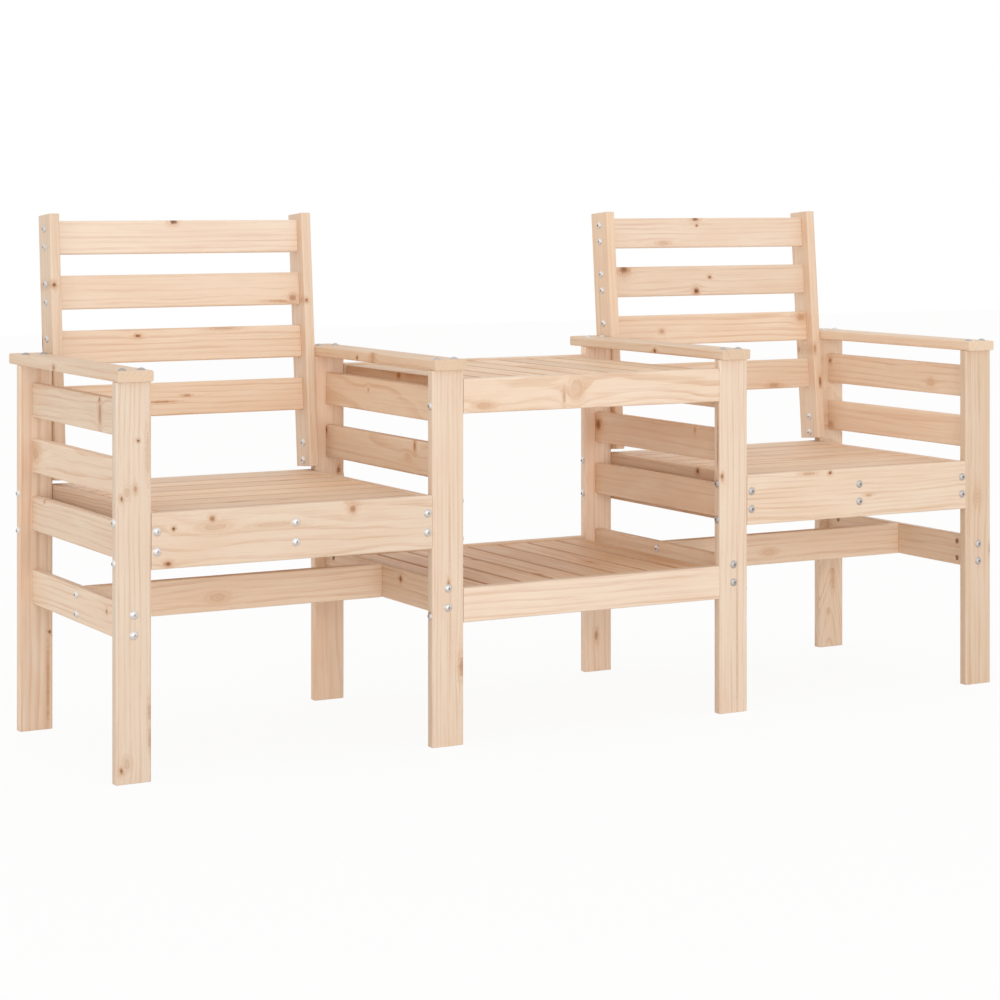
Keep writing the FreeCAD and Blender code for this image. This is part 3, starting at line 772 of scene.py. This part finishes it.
# %% [markdown]
# A board that nothing is said of gets its numbers from sines of its own number, which look random
# and are the same each time. The pith lies up to 90 mm aside and 24 to 64 mm deep, so some faces
# show arches and others lines, and the piths of a row spread over 150 mm. The slats of the seats,
# the table and the shelf lie close together, so their long edges get painted shade of the gaps.

# %% The numbers of a board
GAP_SHADE_ROWS = ("_seat_slats", "table_slats", "shelf_slats")


def board_numbers(name, number):
    """A node's seed, pith, tone and sizes by its number, and then what is said of its wood."""
    key, (along, across) = board_frame(name)
    low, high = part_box(name)
    in_row = key in ROW_COUNTS
    width, depth = (abs((high - low).dot(way)) / MM for way in (across, along.cross(across)))
    pith = (0.0, 90.0 * math.sin(number * 2.4), 44.0 + 20.0 * math.cos(number * 1.7))
    numbers = {
        "Seed": number * 7.31,
        "Pith": pith,
        "Spread": 150.0 if in_row else 0.0,
        "Slope": 0.03 * math.sin(number * 1.3),
        "Loose knots": 0.0 if name in BOARDS else 0.3,
        "Tone and light": 1.0 + 0.02 * math.sin(number * 3.1),
        "Half width": SLAT_WIDTH / 2 if in_row else width / 2,
        "Half depth": depth / 2,
        "Gap shade and spread": 0.75 if key in GAP_SHADE_ROWS else 0.0,
    }
    return {**numbers, **BOARDS.get(name, ({}, []))[0]}


# %% [markdown]
# Planed pine that is soaked but not varnished is between matt and satin, with the IOR of 1.5 that
# most woods are given. A relief of 0.15 mm lets its late wood catch the light.

# %% Planed pine for every board
RELIEF = 0.15 * MM


def pine(name, number):
    """The planed pine of one node, with the rings and knots of its own boards."""
    material, tree = new_material("Planed pine, " + name.replace("_", " "))
    planed = add_node(
        tree, "Group", {**board_grain(tree, name), **board_numbers(name, number)},
        node_tree=bpy.data.node_groups["Planed pine"])
    bump = add_node(
        tree, "Bump",
        {"Height": planed.outputs["Height"], "Distance": RELIEF, "Strength": 0.5})
    surface = add_node(
        tree, "BsdfPrincipled",
        {"Base Color": planed.outputs["Color"], "Roughness": planed.outputs["Roughness"],
         "Normal": bump, "IOR": 1.5})
    add_node(tree, "OutputMaterial", {"Surface": surface})
    return material


HARDWARE = ("short_bolts", "long_bolts", "barrel_nuts", "cleat_screws", "wooden_dowels")
timber = sorted(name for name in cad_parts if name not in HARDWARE)
for number, name in enumerate(timber):
    dress(name, pine(name, number))
print("pine boards or rows:", len(timber))

# %% [markdown]
# ## Zinc-plated steel
# Bolts and screws for the garden are steel with a thin coat of zinc, which is grey, a little cloudy
# and half bright. As a metal it has no colour of its own beneath the reflection. Some heads are
# tinted darker as painted shade and made rougher: those at the front of the right half, and on the
# left chair the heads on the armrests most, then those of the backrest. So the place of a head
# decides.

# %% Heads painted darker and duller
def shade_and_dullness(tree, place):
    """How much painted shade and dullness the zinc gets at a place of the bench in metres, from 0 to
    1.
    """
    parts = add_node(tree, "SeparateXYZ", {0: place})
    right = add_node(tree, "MapRange", {"Value": parts.outputs["X"], 1: -0.5, 2: 0.1})
    front = add_node(
        tree, "MapRange", {"Value": parts.outputs["Y"], 1: -0.1, 2: -0.2, 3: 0.0, 4: 0.6})
    shade_and_dull = add_node(tree, "Math", {0: right, 1: front}, operation="MULTIPLY")
    high = add_node(tree, "MapRange", {"Value": parts.outputs["Z"], 1: 0.61, 2: 0.62})
    shade_by_height = add_node(
        tree, "MapRange", {"Value": parts.outputs["Z"], 1: 0.636, 2: 0.645, 3: 0.8, 4: 0.3})
    high = add_node(tree, "Math", {0: high, 1: shade_by_height}, operation="MULTIPLY")
    left = add_node(tree, "Math", {0: 1.0, 1: right}, operation="SUBTRACT")
    high = add_node(tree, "Math", {0: high, 1: left}, operation="MULTIPLY")
    return add_node(tree, "Math", {0: shade_and_dull, 1: high}, operation="MAXIMUM")


# %% [markdown]
# The socket of a head and its rim against the wood are painted darker, as painted shade, while
# its crown keeps the bright tint. Ambient occlusion finds such corners by itself, so no mask has
# to be painted. The crystals of the plating are clouds about 4 mm wide, and the marks of handling
# 0.6 mm.

# %% Zinc
CRYSTAL = 4 * MM
MARK = 0.6 * MM


def zinc(name):
    """Zinc plate: cloudy grey metal with fine marks, painted shade in its corners, and heads painted
    darker by place.
    """
    material, tree = new_material(name)
    place = add_node(tree, "TexCoord").outputs["Object"]
    cloud = add_node(tree, "TexNoise", {"Vector": place, "Scale": 1 / CRYSTAL, "Detail": 3.0})
    marks = add_node(tree, "TexNoise", {"Vector": place, "Scale": 1 / MARK, "Detail": 2.0})
    tint = add_node(
        tree, "Mix", {"Factor": cloud.outputs[0], "A": linear("D6D2D0"), "B": linear("F4F2F0")},
        data_type="RGBA")
    # Painted shade: the heads picked by place are tinted darker towards B4ADAA, and are also
    # rougher.
    shade_and_dull = shade_and_dullness(tree, place)
    tint = add_node(
        tree, "Mix", {"Factor": shade_and_dull, "A": tint, "B": linear("B4ADAA")}, data_type="RGBA")
    # Painted shade: ambient occlusion darkens the socket and the rim against the wood towards
    # 948E8C.
    open_sky = add_node(tree, "AmbientOcclusion", {"Distance": 5 * MM}, samples=8)
    corner_shade = add_node(
        tree, "MapRange", {"Value": open_sky.outputs["AO"], 1: 0.72, 2: 0.96, 3: 0.45, 4: 0.0})
    tint = add_node(
        tree, "Mix", {"Factor": corner_shade, "A": tint, "B": linear("948E8C")}, data_type="RGBA")
    rough = add_node(
        tree, "MapRange", {"Value": marks.outputs[0], 1: 0.3, 2: 0.7, 3: 0.38, 4: 0.52})
    rough = add_node(tree, "Math", {0: shade_and_dull, 1: 0.3, 2: rough}, operation="MULTIPLY_ADD")
    bump = add_node(
        tree, "Bump", {"Height": marks.outputs[0], "Distance": 0.02 * MM, "Strength": 0.3})
    surface = add_node(
        tree, "BsdfPrincipled",
        {"Base Color": tint, "Roughness": rough, "Normal": bump, "Metallic": 1.0})
    add_node(tree, "OutputMaterial", {"Surface": surface})
    return material


plated = ("short_bolts", "long_bolts", "cleat_screws")
for name in plated:
    dress(name, zinc("Zinc-plated steel, " + name.replace("_", " ")))
print("zinc-plated:", ", ".join(plated))

# %% [markdown]
# ## Oiled steel
# The barrel nuts sit sunk in their holes in the legs. They are turned steel, left bare and oiled,
# and they are painted a light brown-grey as painted light in their shaded holes, with stains 3 mm
# wide and turning marks 0.4 mm apart. The holes round them are in shade, so the eye sees dark
# brown dots.

# %% Oiled steel of the barrel nuts
STAIN = 3 * MM
TURNING = 0.4 * MM


def oiled_steel():
    """Oiled steel: brown-grey metal painted lighter, as painted light in its shaded hole, with
    turning marks and darker stains.
    """
    material, tree = new_material("Oiled steel, barrel nuts")
    place = add_node(tree, "TexCoord").outputs["Object"]
    stain = add_node(tree, "TexNoise", {"Vector": place, "Scale": 1 / STAIN, "Detail": 3.0})
    marks = add_node(tree, "TexNoise", {"Vector": place, "Scale": 1 / TURNING, "Detail": 2.0})
    # Painted light: this brown-grey is lighter than bare steel, because the nuts sit in shade.
    tint = add_node(
        tree, "Mix", {"Factor": stain.outputs[0], "A": linear("A88670"), "B": linear("D2B8A6")},
        data_type="RGBA")
    rough = add_node(
        tree, "MapRange", {"Value": marks.outputs[0], 1: 0.3, 2: 0.7, 3: 0.42, 4: 0.58})
    bump = add_node(
        tree, "Bump", {"Height": marks.outputs[0], "Distance": 0.03 * MM, "Strength": 0.4})
    surface = add_node(
        tree, "BsdfPrincipled",
        {"Base Color": tint, "Roughness": rough, "Normal": bump, "Metallic": 1.0})
    add_node(tree, "OutputMaterial", {"Surface": surface})
    return material


nuts = oiled_steel()
dress("barrel_nuts", nuts)
print("nodes of oiled steel:", len(nuts.node_tree.nodes))

# %% [markdown]
# ## Turned beech
# The dowels are beech, denser and pinker than pine, with short dark flecks along the grain, 2 to
# 3 mm long and a third of a millimetre wide. They are hidden in their joints, but an exploded view
# or a cut shows them.

# %% Beech
FLECK = (0.35 * MM, 2.5 * MM, 0.35 * MM)


def beech():
    """Turned beech: fine, even, pinkish wood with short flecks."""
    material, tree = new_material("Turned beech")
    place = add_node(tree, "TexCoord").outputs["Object"]
    stretched = add_node(tree, "VectorMath", {0: place, 1: per(*FLECK)}, operation="MULTIPLY")
    fleck = add_node(tree, "TexNoise", {"Vector": stretched, "Scale": 1.0, "Detail": 2.0})
    dark = add_node(
        tree, "MapRange", {"Value": fleck.outputs[0], 1: 0.5, 2: 0.75, 3: 0.1, 4: 0.8})
    tint = add_node(
        tree, "Mix", {"Factor": dark, "A": linear("DDB58D"), "B": linear("A9744C")},
        data_type="RGBA")
    bump = add_node(
        tree, "Bump", {"Height": fleck.outputs[0], "Distance": 0.05 * MM, "Strength": 0.4})
    surface = add_node(
        tree, "BsdfPrincipled",
        {"Base Color": tint, "Roughness": 0.55, "Normal": bump, "IOR": 1.5})
    add_node(tree, "OutputMaterial", {"Surface": surface})
    return material


dowels = beech()
dress("wooden_dowels", dowels)
print("nodes of turned beech:", len(dowels.node_tree.nodes))

# %% [markdown]
# ## The camera
# The picture was taken with a long lens from the front left. The camera stands level, a little
# higher than the backrests, and its frame is shifted down instead of tilted, which keeps the legs
# upright.

# %% Camera
scene = bpy.context.scene
camera_data = bpy.data.cameras.new("Camera")
camera_data.sensor_width = 36.0
camera_data.lens = 92.11
camera_data.shift_y = -0.3024
camera = bpy.data.objects.new("Camera", camera_data)
camera.location = (-2.2349, -3.9222, 0.8911)
camera.rotation_euler = (math.radians(90), 0, math.radians(-29.236))
scene.collection.objects.link(camera)
scene.camera = camera
print("distance to the bench:", round(camera.location.xy.length, 2), "m")

# %% [markdown]
# ## Light, floor and backdrop
# A product is photographed in a bright room with soft lamps, so its front is lit evenly and its
# own boards shade each other softly. The world is white for the camera and for reflections, and
# softer for what lights the wood.

# %% World
ROOM_LIGHT = 0.86
scene.view_settings.view_transform = "Standard"
world = bpy.data.worlds.new("White studio")
scene.world = world
world.use_nodes = True
tree = world.node_tree
tree.nodes.clear()
path = add_node(tree, "LightPath")
seen = add_node(
    tree, "Math", {0: path.outputs["Is Camera Ray"], 1: path.outputs["Is Glossy Ray"]},
    operation="MAXIMUM")
seen = add_node(
    tree, "Math", {0: seen, 1: path.outputs["Is Transmission Ray"]}, operation="MAXIMUM")
soft = add_node(tree, "Background", {"Color": linear("FFFFFF"), "Strength": ROOM_LIGHT})
white = add_node(tree, "Background", {"Color": linear("FFFFFF"), "Strength": 1.0})
mixed = add_node(tree, "MixShader", {0: seen, 1: soft, 2: white})
add_node(tree, "OutputWorld", {"Surface": mixed})
print("room light:", ROOM_LIGHT)

# %% [markdown]
# Two weak square lamps stand in for softboxes. Room light alone is the same from all sides, and
# with them the front is a little brighter than the sides, which shows the form of each board.

# %% Lamps
def softbox(name, place, target, side, power):
    """A square area lamp that faces its target, with its side in metres and its power in watts."""
    lamp = bpy.data.lights.new(name, "AREA")
    lamp.shape = "SQUARE"
    lamp.size = side
    lamp.energy = power
    holder = bpy.data.objects.new(name, lamp)
    holder.location = place
    aim = Vector(target) - Vector(place)
    holder.rotation_euler = aim.to_track_quat("-Z", "Y").to_euler()
    scene.collection.objects.link(holder)
    print(f"{name}: {power} W from {aim.length:.1f} m")


softbox("Front softbox", (-1.0, -5.2, 1.1), (0, 0, 0.4), 2.0, 60)
softbox("Left softbox", (-4.6, -1.6, 1.4), (0, 0, 0.4), 2.0, 14)

# %% [markdown]
# The floor is a wide pale sheet. The camera sees it brightened towards the white of the backdrop,
# while it still takes the bench's soft shadow.

# %% Floor
SPAN = 12.0
GLOW = 0.92
floor_mesh = bpy.data.meshes.new("Floor")
floor_mesh.from_pydata(
    [(-SPAN, -SPAN, 0), (SPAN, -SPAN, 0), (SPAN, SPAN, 0), (-SPAN, SPAN, 0)], [],
    [(0, 1, 2, 3)])
floor = bpy.data.objects.new("Floor", floor_mesh)
scene.collection.objects.link(floor)
material, tree = new_material("Matt white paper")
path = add_node(tree, "LightPath")
paper = add_node(tree, "BsdfDiffuse", {"Color": linear("F4F2EF")})
glow = add_node(tree, "Emission", {"Color": linear("FFFFFF"), "Strength": 1.0})
seen = add_node(
    tree, "Math", {0: path.outputs["Is Camera Ray"], 1: GLOW}, operation="MULTIPLY")
mixed = add_node(tree, "MixShader", {0: seen, 1: paper, 2: glow})
add_node(tree, "OutputMaterial", {"Surface": mixed})
floor_mesh.materials.append(material)
print("side of the floor:", 2 * SPAN, "m")
